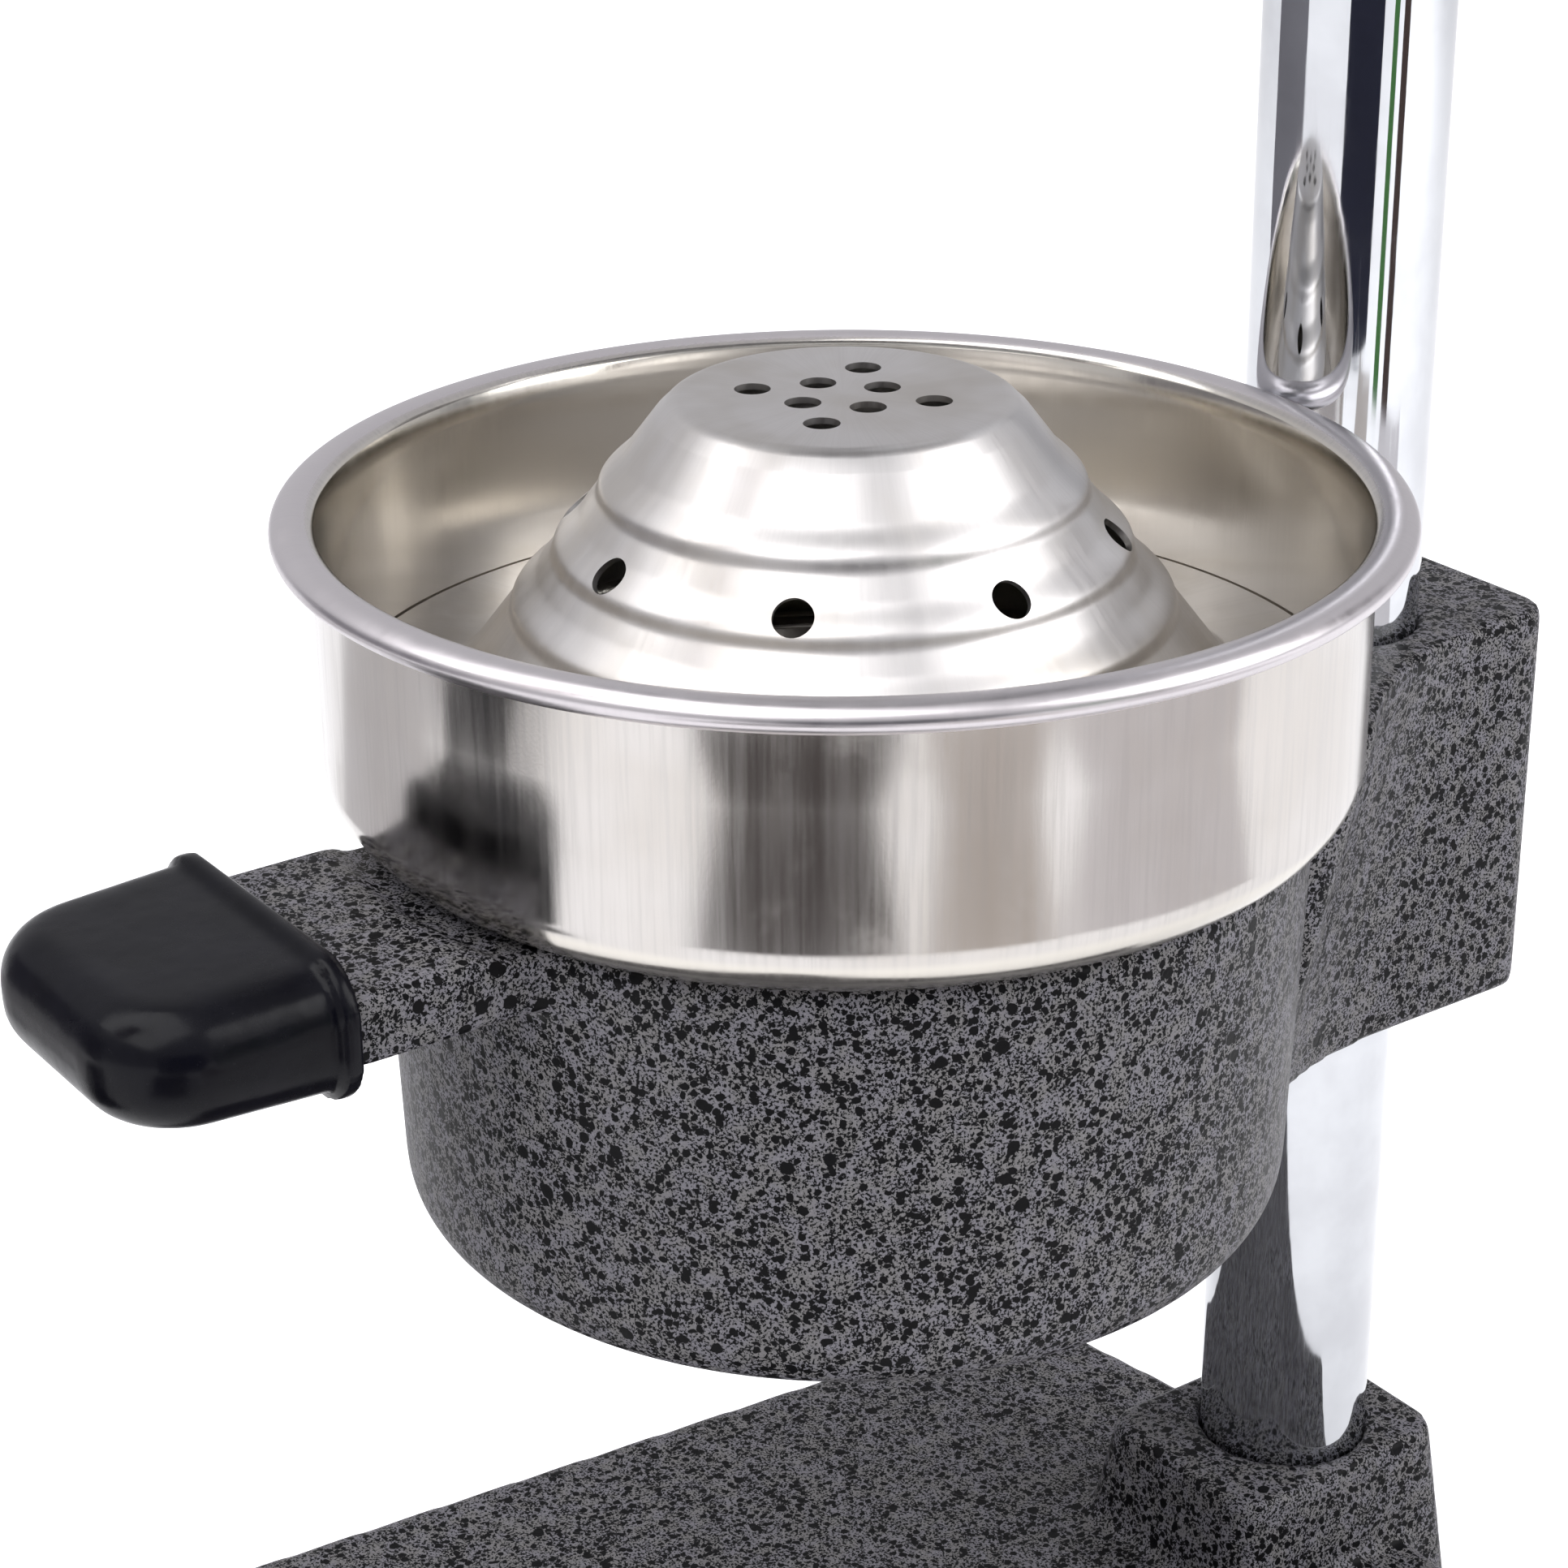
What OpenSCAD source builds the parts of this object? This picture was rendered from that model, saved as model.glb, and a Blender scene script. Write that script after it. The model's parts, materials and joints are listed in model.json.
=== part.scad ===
// Hand lever citrus press: cast base and cup holder on a chromed column, steel bowl and
// strainer cone, and a rack and pinion head that lowers the press bell.
// Millimetres, +Z up. Origin: on the bowl's axis, at the level the rubber feet stand on.
// The grip faces -Y, the column stands at +Y and the lever is on the +X side.

/* [Bowl and strainer] */
// Outer diameter of the bowl's rolled rim
rim_d = 140; // [136:1:140]
// Height of the bowl from the cup's rim to the middle of the rolled rim
bowl_h = 36.8; // [34:0.2:40]
// Sheet thickness of the bowl and the strainer
sheet_t = 0.8; // [0.6:0.1:1]
// Height of the strainer's flat top above the middle of the rolled rim
cone_rise = 14; // [12:0.5:16]

/* [Cup holder] */
// Height of the cup's rim above the table
cup_top_z = 163; // [160:1:170]
// Height of the cup
cup_h = 56; // [50:1:58]
// Outer diameter of the cup at its rim
cup_d = 118.6; // [116:0.2:119]
// Width of the front tongue
tongue_w = 39; // [34:1:40]
// Thickness of the front tongue
tongue_t = 9; // [7:0.5:10]

/* [Column] */
// Diameter of the column
col_d = 25; // [24:0.1:25]
// Distance from the bowl's axis to the column's axis
col_y = 82.8; // [82.8:0.1:84]

/* [Base] */
// Width of the base plate at its front
plate_w = 164; // [156:2:170]
// Width of the base plate at its rear
plate_rear_w = 134; // [130:2:140]
// Distance from the bowl's axis to the front edge of the plate
plate_front = 92; // [85:1:100]
// Distance from the bowl's axis to the rear edge of the plate
plate_rear = 88; // [86:1:89]
// Thickness of the base plate
plate_t = 14; // [12:1:18]
// Height of the rear boss above the plate
boss_h = 16; // [14:1:24]

/* [Head and ram] */
// Height of the head's lower face above the table
head_z = 333; // [333:1:345]
// Diameter of the ram
ram_d = 20; // [19:0.5:20]
// Travel of the ram
travel = 82; // [60:1:82]
// Height of the raised bell's mouth above the table
bell_z = 273; // [270:1:273]

/* [Rack and pinion] */
// Gear module
gear_m = 2; // [2:1:2]
// Number of teeth on the pinion
teeth = 26; // [26:1:26]
// Play between the teeth, measured on the pitch line
backlash = 0.3; // [0.2:0.05:0.4]

/* [Lever] */
// Angle of the raised lever above the forward direction
lever_rest = 132; // [120:1:140]
// Length of the lever from the shaft's axis to the end of its rod
lever_len = 190; // [150:5:200]

/* [Hidden] */
$fn = 96;
small = 0.01;
fit = 0.03;           // radial gap of fixed fits
run = 0.05;           // radial gap of running fits

foot_h = 5;
plate_top = foot_h + plate_t;
boss_top = plate_top + boss_h;
boss_w = 32;
col_r = col_d / 2;
boss_rear = col_y + col_r + 5.8;
socket_z = foot_h + 9;
foot_r = 11;
foot_x = plate_rear_w / 2 - 13;
foot_spots = [for (x = [-foot_x, foot_x]) for (y = [-plate_front + 15, plate_rear - 22]) [x, y]];
foot_head_z = 1.6;

cup_r = cup_d / 2;
cup_z = cup_top_z - cup_h;
cup_foot_r = cup_r - 1.7;
cup_corner = 7.6;
cup_wall = 5;
cup_floor = 6;
cup_hole_r = 34;

tongue_top = cup_top_z + 1.2;
tongue_end = 100;
tenon_w = 34;
tenon_t = 7;
tenon_z = tongue_top - tongue_t / 2;
block_w = 34;
block_rear = col_y + col_r + 15;
block_top = cup_top_z + 3.5;
block_h = 58.5;
flare_r = 46.6;
flare_y = col_y + 15;
flare_tilt = 17;
grip_y = 83;
grip_end = 110;
grip_r = 12;
grip_z = tongue_top - 3.8;
grip_half_h = 7.9;
grip_half_w = tongue_w / 2 + 1.8;
clamp_screws = [block_top - block_h + 14, block_top - 14];

rim_z = cup_top_z + bowl_h;
rim_r = rim_d / 2;
roll_r = 1.9;
wall_r = rim_r - 4.9;
roll_in = wall_r - sheet_t + 0.1;
bowl_foot = cup_top_z + 0.1;
bowl_corner = 7.6;
ledge_z = rim_z - 25.4;
neck_r = cup_r - cup_wall - 1;
spout_r = 12;
spout_top = cup_top_z - 24;
spout_end = cup_top_z - 38;

disc_z = rim_z + cone_rise;
disc_r = 21.3;
cone_run = 0.76;      // radius gained per millimetre of drop
brim_z = rim_z - 24.5;
brim_r = wall_r - sheet_t - 0.3;
cone_foot_r = disc_r + cone_run * (disc_z - brim_z);
step_depth = [10.4, 17.9, 25];
step_out = 0.7;
side_hole_drop = 16.2;
side_hole_r = 2.5;
top_hole_r = 2.25;

pitch_r = gear_m * teeth / 2;
tip_r = pitch_r + gear_m;
root_r = pitch_r - 1.25 * gear_m;
base_r = pitch_r * cos(20);
pitch = PI * gear_m;
ram_r = ram_d / 2;
rack_tip_y = ram_r - 1.5;
rack_pitch_y = rack_tip_y - gear_m;
rack_root_y = rack_pitch_y - 1.25 * gear_m;
head_h = 72;
head_top = head_z + head_h;
pin_y = rack_pitch_y + pitch_r;
pin_z = head_z + head_h / 2;
pin_x = [-11.5, 8.5];
head_x = [-14, 19];
cover_r = head_h / 2;
cover_t = 5;
gear_room_r = tip_r + 1.5;
guide_r = 19;
bush_r = ram_r + 3;
bush_h = 14;
rack_below = 3;
rack_above = ceil(travel / pitch) + 2;

bell_r = 54;
bell_mouth_r = 48.5;
bell_roof_r = 23;
bell_roof_z = bell_z + (bell_mouth_r - bell_roof_r) / cone_run;
bell_top = bell_z + 50;
bell_web = 3;
spigot_r = 7;
collar_h = 6;
cap_z = head_top + travel + 0.5;

shaft_r = 6;
shaft_bush_r = 8;
shaft_x = [-28.5, 38];
cover_boss_x = -25;
ring_x = cover_boss_x - 1.2;
ring_t = 1;
hub_x = [20.5, 40.5];
lever_x = (hub_x[0] + hub_x[1]) / 2;
lever_r = 6;
rod_start = 9;
grip_len = 92;
brake_z = pin_z;

// Points along an arc, from angle a0 to angle a1
function arc(cx, cy, r, a0, a1, n = 8) =
    [for (i = [0:n]) let (a = a0 + (a1 - a0) * i / n) [cx + r * cos(a), cy + r * sin(a)]];

// Involute function, in degrees
function inv(a) = tan(a) * 180 / PI - a;

// Half the angle that a tooth covers at radius r
function tooth_half(r) =
    90 / teeth - backlash / (4 * pitch_r) * 180 / PI + inv(20) - inv(acos(min(1, base_r / r)));

// Filled rectangle with round corners, from y0 to y1
module round_plate(w, y0, y1, r) {
    for (s = [-1, 1])
        for (y = [y0 + r, y1 - r])
            translate([s * (w / 2 - r), y]) circle(r);
    translate([-w / 2, y0 + r]) square([w, y1 - y0 - 2 * r]);
    translate([-w / 2 + r, y0]) square([w - 2 * r, y1 - y0]);
}

// Cylinder along X from x0 to x1 round the point (y, z)
module bar_x(x0, x1, r, y, z) {
    translate([x0, y, z]) rotate([0, 90, 0]) cylinder(h = x1 - x0, r = r);
}

// Cylinder along Y from y0 to y1 round the point (x, z)
module bar_y(y0, y1, r, x, z) {
    translate([x, y0, z]) rotate([-90, 0, 0]) cylinder(h = y1 - y0, r = r);
}

// Places its children on the lever: local Z runs along the lever from the shaft's axis
module on_lever() {
    translate([lever_x, pin_y, pin_z]) rotate([90 - lever_rest, 0, 0]) children();
}

// Hexagonal socket that is cut into a screw's end
module hex_socket(across, depth) {
    cylinder(h = depth, r = across / sqrt(3), $fn = 6);
}

module base_outline() {
    hull() for (s = [-1, 1]) {
        translate([s * (plate_w / 2 - 14), 14 - plate_front]) circle(14);
        translate([s * (plate_rear_w / 2 - 6), plate_rear - 6]) circle(6);
    }
    polygon([[-plate_rear_w / 2 + 6, plate_rear - 12], [-plate_rear_w / 2 + 6, plate_rear],
        [-34, plate_rear + 4.5], [34, plate_rear + 4.5], [plate_rear_w / 2 - 6, plate_rear],
        [plate_rear_w / 2 - 6, plate_rear - 12]]);
}

module boss_slice(w, y0, y1, h) {
    linear_extrude(h) round_plate(w, y0, y1, 5, $fn = 32);
}

module base_plate() {
    color([0.42, 0.42, 0.43]) difference() {
        union() {
            translate([0, 0, foot_h]) linear_extrude(plate_t) base_outline();
            hull() {
                translate([0, 0, foot_h]) boss_slice(boss_w + 8, col_y - 27, boss_rear + 2, 1);
                translate([0, 0, boss_top - 1]) boss_slice(boss_w, col_y - 22, boss_rear, 1);
            }
        }
        translate([0, col_y, socket_z]) cylinder(h = 99, r = col_r + fit);
        translate([0, col_y, -1]) cylinder(h = 99, r = 5.3);
        translate([0, col_y, -1]) cylinder(h = foot_h + 5, r = 13);
        for (p = foot_spots)
            translate([p[0], p[1], -1]) cylinder(h = foot_h + 9.5, r = 2 + fit);
    }
}

module feet() {
    color([0.07, 0.07, 0.07]) for (p = foot_spots)
        translate([p[0], p[1], 0]) difference() {
            cylinder(h = foot_h, r1 = foot_r - 1, r2 = foot_r);
            translate([0, 0, -small]) cylinder(h = foot_head_z + 2.4, r = 4.8);
            translate([0, 0, -small]) cylinder(h = 9, r = 2.2);
        }
}

module foot_screws() {
    color([0.75, 0.75, 0.77]) for (p = foot_spots)
        translate([p[0], p[1], foot_head_z]) difference() {
            union() {
                cylinder(h = 2.35, r = 4.4);
                cylinder(h = 11, r = 2);
            }
            translate([0, 0, -small]) hex_socket(3, 1.4);
        }
}

module base_washer() {
    color([0.75, 0.75, 0.77]) translate([0, col_y, foot_h + 1.95]) difference() {
        cylinder(h = 2, r = 11);
        translate([0, 0, -1]) cylinder(h = 4, r = 5.3);
    }
}

module base_bolt() {
    color([0.7, 0.7, 0.72]) translate([0, col_y, 0]) union() {
        translate([0, 0, 1]) cylinder(h = foot_h + 0.9, r = 9, $fn = 6);
        translate([0, 0, 4]) cylinder(h = 34, r = 5);
    }
}

module column() {
    color([0.86, 0.87, 0.9]) translate([0, col_y, 0]) difference() {
        union() {
            translate([0, 0, socket_z + 0.05]) cylinder(h = head_top - socket_z - 4, r = col_r);
            translate([0, 0, head_top - 4]) cylinder(h = 1.5, r1 = col_r, r2 = col_r - 1.5);
        }
        translate([0, 0, 0]) cylinder(h = 44, r = 5 + fit);
    }
}

module cup_profile() {
    polygon(concat(
        [[cup_hole_r, cup_z]],
        arc(cup_foot_r - cup_corner, cup_z + cup_corner, cup_corner, -90, 0),
        [[cup_r, cup_top_z - 1]],
        [[cup_r - 1, cup_top_z], [cup_r - cup_wall, cup_top_z]],
        [[cup_foot_r - cup_wall, cup_z + cup_floor + 4], [cup_foot_r - cup_wall - 4, cup_z + cup_floor]],
        [[cup_hole_r, cup_z + cup_floor]]));
}

module block_outline() {
    translate([-34, 50]) square([68, block_rear - 55]);
    round_plate(block_w, block_rear - 20, block_rear, 5);
}

// Hollow flares that narrow the block from the cup's width; they lean towards the cup below
module flares() {
    for (s = [0, 1]) mirror([s, 0, 0])
        translate([block_w / 2 + flare_r, flare_y, block_top]) rotate([-flare_tilt, 0, 0]) {
            cylinder(h = 200, r = flare_r, center = true, $fn = 180);
            translate([-flare_r, 0, -100]) cube([100, 60, 200]);
        }
}

module cup_holder() {
    color([0.42, 0.42, 0.43]) difference() {
        union() {
            rotate_extrude($fn = 180) cup_profile();
            difference() {
                union() {
                    difference() {
                        translate([0, 0, block_top - block_h]) linear_extrude(block_h) block_outline();
                        flares();
                    }
                    translate([-tongue_w / 2, 1.2 - grip_y, tongue_top - tongue_t])
                        cube([tongue_w, grip_y - 51.2, tongue_t]);
                    translate([-tenon_w / 2, -tongue_end, tenon_z - tenon_t / 2])
                        cube([tenon_w, tongue_end - 50, tenon_t]);
                }
                translate([0, 0, cup_z - 1]) cylinder(h = 99, r = cup_r - cup_wall + 0.5, $fn = 180);
            }
        }
        translate([0, 0, cup_top_z]) cylinder(h = 99, r = wall_r + 0.6, $fn = 180);
        translate([0, col_y, cup_z]) cylinder(h = 99, r = col_r + fit);
        for (z = clamp_screws)
            bar_y(col_y + col_r - 2, block_rear + 1, 4 + fit, 0, z);
    }
}

module cup_set_screws() {
    color([0.15, 0.15, 0.16]) for (z = clamp_screws) difference() {
        bar_y(col_y + col_r + 0.1, block_rear - 0.5, 4, 0, z);
        translate([0, block_rear, z]) rotate([90, 0, 0]) hex_socket(4, 4);
    }
}

module grip_slice(y, w, z0, z1, r) {
    translate([0, y, 0]) rotate([90, 0, 0]) linear_extrude(1, center = true)
        translate([0, (z0 + z1) / 2]) round_plate(w, -(z1 - z0) / 2, (z1 - z0) / 2, r, $fn = 32);
}

// Round corner of the cap, h high, with its upper and lower edges rounded
module grip_corner(x, y, z, h, r, edge) {
    translate([x, y, z]) rotate_extrude($fn = 48) {
        translate([0, -h / 2 + edge]) square([r, h - 2 * edge]);
        translate([0, -h / 2]) square([r - edge, h]);
        for (s = [-1, 1])
            intersection() {
                translate([r - edge, s * (h / 2 - edge)]) circle(edge, $fn = 32);
                translate([0, -h]) square([r + 1, 2 * h]);
            }
    }
}

module handle_grip() {
    low = grip_z - grip_half_h;
    high = grip_z + grip_half_h;
    color([0.06, 0.06, 0.07]) difference() {
        union() {
            hull() {
                grip_slice(-grip_y, 2 * grip_half_w, low, high, 6);
                for (s = [-1, 1])
                    grip_corner(s * (grip_half_w - grip_r - 0.4), grip_r - grip_end, grip_z,
                        2 * grip_half_h - 1, grip_r, 6.2);
            }
            hull() for (y = [-grip_y - 0.6, -grip_y + 0.6])
                grip_slice(y, 2 * grip_half_w + 2, low - 1.2, high + 1, 7);
        }
        translate([-tenon_w / 2 - 0.1, -tongue_end - 0.2, tenon_z - tenon_t / 2 - 0.1])
            cube([tenon_w + 0.2, tongue_end, tenon_t + 0.2]);
    }
}

// Bowl wall: the outer surface from the spout up, then the inner surface back down
module bowl_profile() {
    t = sheet_t;
    polygon(concat(
        [[spout_r, spout_end], [spout_r, spout_top], [neck_r, cup_top_z - 6], [neck_r, bowl_foot]],
        arc(wall_r - bowl_corner, bowl_foot + bowl_corner, bowl_corner, -90, 0),
        [[wall_r, rim_z], [wall_r - t, rim_z]],
        arc(wall_r - bowl_corner, bowl_foot + bowl_corner, bowl_corner - t, 0, -90),
        [[neck_r - t, bowl_foot + t], [neck_r - t, cup_top_z - 5.5], [spout_r - t, spout_top + 0.6],
            [spout_r - t, spout_end]]));
}

module bowl() {
    color([0.78, 0.77, 0.76]) rotate_extrude($fn = 180) union() {
        bowl_profile();
        // rolled rim
        translate([rim_r - roll_r, rim_z]) circle(roll_r, $fn = 32);
        translate([roll_in + roll_r, rim_z]) circle(roll_r, $fn = 32);
        translate([roll_in + roll_r, rim_z - roll_r])
            square([rim_r - roll_in - 2 * roll_r, 2 * roll_r]);
        // pressed bead that carries the strainer's brim
        translate([wall_r - sheet_t, ledge_z - 0.9]) circle(0.9, $fn = 32);
    }
}

// Outer face of the cone at the depth d below its flat top
function cone_at(d) = [disc_r + cone_run * d, disc_z - d];

// One pressed step: the sheet bulges out, then tucks back to the cone
function cone_step(d) = [
    cone_at(d - 2.2),
    cone_at(d - 0.6) + [step_out, 0],
    cone_at(d) + [step_out, -0.1],
    cone_at(d + 0.5)];

module strainer_profile() {
    face = concat(
        [[disc_r - 2.5, disc_z]],
        arc(disc_r - 2.2, disc_z - 2.6, 2.6, 80, 38, 4),
        [for (d = step_depth) each cone_step(d)],
        [[cone_foot_r - 1, brim_z + 1.4], [cone_foot_r + 1, brim_z], [brim_r, brim_z]]);
    n = len(face);
    on_cone = [for (i = [0:n - 1]) i > 1 && i < n - 2];
    back = [for (i = [n - 1:-1:0])
        face[i] - sheet_t * (on_cone[i] ? [0.8, 0.61] : [0, 1])];
    polygon(concat([[0, disc_z]], face, back, [[0, disc_z - sheet_t]]));
}

module strainer() {
    color([0.8, 0.79, 0.78]) difference() {
        rotate_extrude($fn = 180) strainer_profile();
        for (i = [0:3]) {
            rotate(90 * i - 4) translate([5.7, 0, disc_z - 5]) cylinder(h = 9, r = top_hole_r);
            rotate(90 * i + 41) translate([11.3, 0, disc_z - 5]) cylinder(h = 9, r = top_hole_r);
        }
        for (i = [0:7])
            rotate(45 * i - 1)
                translate([disc_r + cone_run * side_hole_drop, 0, disc_z - side_hole_drop])
                    rotate([0, 90 - atan(cone_run), 0]) cylinder(h = 8, r = side_hole_r, center = true);
    }
}

module head_casting() {
    color([0.42, 0.42, 0.43]) difference() {
        union() {
            translate([head_x[0], 0, head_z]) cube([head_x[1] - head_x[0], col_y, head_h]);
            translate([0, 0, head_z]) cylinder(h = head_h, r = guide_r);
            translate([0, col_y, head_z]) cylinder(h = head_h, r = col_r + 8);
        }
        translate([0, 0, head_z - 1]) cylinder(h = head_h + 2, r = bush_r);
        bar_x(head_x[0] - 1, pin_x[1] + 0.5, gear_room_r, pin_y, pin_z);
        bar_x(0, head_x[1] + 1, shaft_bush_r, pin_y, pin_z);
        translate([0, col_y, head_z - 1]) cylinder(h = head_h - 1, r = col_r + fit);
        for (z = head_screw_z())
            bar_y(col_y + col_r - 2, col_y + 40, 4 + fit, 0, z);
        bar_y(-guide_r - 1, -8, 4 + fit, 0, brake_z);
        for (a = [45:90:315])
            cover_screw_place(a) cylinder(h = 8, r = 1.6 + fit);
        // seat of the cover in the side of the guide and the clamp
        bar_x(head_x[0] - 9, head_x[0], cover_r + fit, pin_y, pin_z);
    }
}

function head_screw_z() = [head_z + 18, head_top - 18];

// Local Z runs into the casting, from the cover's outer face
module cover_screw_place(a) {
    translate([head_x[0] - cover_t, pin_y + (cover_r - 3.4) * cos(a), pin_z + (cover_r - 3.4) * sin(a)])
        rotate([0, 90, 0]) children();
}

module head_cover() {
    color([0.42, 0.42, 0.43]) difference() {
        union() {
            bar_x(head_x[0] - cover_t, head_x[0] - 0.02, cover_r, pin_y, pin_z);
            bar_x(cover_boss_x, head_x[0] - 1, 12, pin_y, pin_z);
        }
        bar_x(cover_boss_x - 1, 0, shaft_bush_r, pin_y, pin_z);
        for (a = [45:90:315])
            cover_screw_place(a) translate([0, 0, -1]) cylinder(h = 12, r = 1.8);
    }
}

module cover_screws() {
    color([0.15, 0.15, 0.16]) for (a = [45:90:315])
        cover_screw_place(a) difference() {
            union() {
                translate([0, 0, -2.05]) cylinder(h = 2, r = 3);
                translate([0, 0, -0.5]) cylinder(h = 7, r = 1.6);
            }
            translate([0, 0, -2.1]) hex_socket(2.5, 1.3);
        }
}

module head_set_screws() {
    color([0.15, 0.15, 0.16]) for (z = head_screw_z()) difference() {
        bar_y(col_y + col_r + 0.1, col_y + col_r + 7.5, 4, 0, z);
        translate([0, col_y + col_r + 8, z]) rotate([90, 0, 0]) hex_socket(4, 4);
    }
}

module ram_bush(z) {
    translate([0, 0, z]) difference() {
        cylinder(h = bush_h, r = bush_r - 0.02);
        translate([0, 0, -1]) cylinder(h = bush_h + 2, r = ram_r + run);
    }
}

module ram_bush_lower() {
    color([0.72, 0.55, 0.28]) ram_bush(head_z);
}

module ram_bush_upper() {
    color([0.72, 0.55, 0.28]) ram_bush(head_top - bush_h);
}

module brake_pad() {
    color([0.9, 0.89, 0.85]) bar_y(-16, -ram_r - 0.06, 3.9, 0, brake_z);
}

module brake_screw() {
    color([0.15, 0.15, 0.16]) union() {
        bar_y(-24, -16.05, 4, 0, brake_z);
        bar_y(-31, -guide_r - 1.2, 8, 0, brake_z);
    }
}

// Gap between two rack teeth, drawn in the (y, z) plane and cut across the ram
module rack_gap() {
    half = pitch / 4 + backlash / 4;
    slope = tan(20);
    rotate([90, 0, 90]) linear_extrude(ram_d + 2, center = true) polygon([
        [rack_root_y, -half + slope * (rack_pitch_y - rack_root_y)],
        [rack_tip_y + 3, -half - slope * (rack_tip_y + 3 - rack_pitch_y)],
        [rack_tip_y + 3, half + slope * (rack_tip_y + 3 - rack_pitch_y)],
        [rack_root_y, half - slope * (rack_pitch_y - rack_root_y)]]);
}

module ram() {
    color([0.8, 0.81, 0.84]) difference() {
        union() {
            translate([0, 0, bell_top]) cylinder(h = cap_z - bell_top, r = ram_r);
            translate([0, 0, bell_roof_z + bell_web + 0.1]) cylinder(h = 20, r = spigot_r);
            translate([0, 0, cap_z - 1]) cylinder(h = 9, r = 5);
        }
        // flat for the rack, then the gaps between its teeth
        translate([-ram_r - 1, rack_tip_y, pin_z - (rack_below + 0.5) * pitch])
            cube([ram_d + 2, 9, (rack_below + rack_above + 1) * pitch]);
        for (i = [-rack_below:rack_above])
            translate([0, 0, pin_z + i * pitch]) rack_gap();
        translate([0, 0, bell_roof_z]) cylinder(h = 24, r = 4 + fit);
    }
}

module ram_cap() {
    color([0.06, 0.06, 0.07]) difference() {
        union() {
            translate([0, 0, cap_z + 0.02]) cylinder(h = 7, r = 14);
            translate([0, 0, cap_z + 7]) cylinder(h = 3, r1 = 14, r2 = 11);
        }
        translate([0, 0, cap_z - 1]) cylinder(h = 9.2, r = 5 + fit);
    }
}

module press_bell() {
    color([0.7, 0.71, 0.72]) rotate_extrude($fn = 180) polygon([
        [bell_mouth_r, bell_z], [bell_r, bell_z], [bell_r, bell_z + 5], [49, bell_z + 14],
        [38, bell_z + 28], [27, bell_z + 40], [20, bell_z + 44], [19, bell_top],
        [spigot_r + fit, bell_top], [spigot_r + fit, bell_roof_z + bell_web],
        [4.4, bell_roof_z + bell_web], [7.4, bell_roof_z], [bell_roof_r, bell_roof_z]]);
}

module bell_collar() {
    color([0.06, 0.06, 0.07]) translate([0, 0, bell_top + 0.02]) difference() {
        cylinder(h = collar_h, r1 = 18.5, r2 = 15);
        translate([0, 0, -1]) cylinder(h = collar_h + 2, r = ram_r + fit);
    }
}

module bell_screw() {
    color([0.75, 0.75, 0.77]) difference() {
        union() {
            translate([0, 0, bell_roof_z + 0.1]) cylinder(h = bell_web - 0.15, r1 = 7.2, r2 = 4.25);
            translate([0, 0, bell_roof_z + 1]) cylinder(h = 20, r = 4);
        }
        translate([0, 0, bell_roof_z]) hex_socket(5, 2.5);
    }
}

module pinion() {
    flank = [for (i = [0:6]) base_r + (tip_r - base_r) * i / 6];
    outline = [for (k = [0:teeth - 1]) let (c = 180 + 360 * k / teeth)
        each concat(
            [[root_r * cos(c - tooth_half(base_r)), root_r * sin(c - tooth_half(base_r))]],
            [for (r = flank) [r * cos(c - tooth_half(r)), r * sin(c - tooth_half(r))]],
            [for (i = [6:-1:0]) let (r = flank[i]) [r * cos(c + tooth_half(r)), r * sin(c + tooth_half(r))]],
            [[root_r * cos(c + tooth_half(base_r)), root_r * sin(c + tooth_half(base_r))]])];
    color([0.6, 0.61, 0.63]) difference() {
        translate([pin_x[0], pin_y, pin_z]) rotate([90, 0, 90])
            linear_extrude(pin_x[1] - pin_x[0]) polygon(outline);
        bar_x(pin_x[0] - 1, pin_x[1] + 1, shaft_r + 0.02, pin_y, pin_z);
        translate([pin_x[0] - 1, pin_y - 2.02, pin_z]) cube([22, 4.04, shaft_r + 2.02]);
    }
}

module pinion_key() {
    color([0.6, 0.61, 0.63]) translate([pin_x[0] + 0.5, pin_y - 2, pin_z + shaft_r - 2])
        cube([19, 4, 4]);
}

module pinion_shaft() {
    color([0.7, 0.71, 0.73]) difference() {
        bar_x(shaft_x[0], shaft_x[1], shaft_r, pin_y, pin_z);
        translate([pin_x[0] + 0.45, pin_y - 2.02, pin_z + shaft_r - 2.02]) cube([19.1, 4.04, 9]);
        difference() {
            bar_x(ring_x - 0.05, ring_x + ring_t + 0.05, shaft_r + 1, pin_y, pin_z);
            bar_x(ring_x - 1, ring_x + ring_t + 1, shaft_r - 0.5, pin_y, pin_z);
        }
    }
}

module shaft_bush(x0, x1) {
    difference() {
        bar_x(x0, x1, shaft_bush_r - 0.02, pin_y, pin_z);
        bar_x(x0 - 1, x1 + 1, shaft_r + run, pin_y, pin_z);
    }
}

module shaft_bush_right() {
    color([0.72, 0.55, 0.28]) shaft_bush(pin_x[1] + 0.6, head_x[1] + 0.5);
}

module shaft_bush_left() {
    color([0.72, 0.55, 0.28]) shaft_bush(cover_boss_x, head_x[0]);
}

module shaft_ring() {
    color([0.2, 0.2, 0.21]) difference() {
        bar_x(ring_x, ring_x + ring_t, 9, pin_y, pin_z);
        bar_x(ring_x - 1, ring_x + ring_t + 1, shaft_r - 0.47, pin_y, pin_z);
        translate([ring_x - 1, pin_y - 1.5, pin_z - 12]) cube([3, 3, 10]);
    }
}

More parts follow.
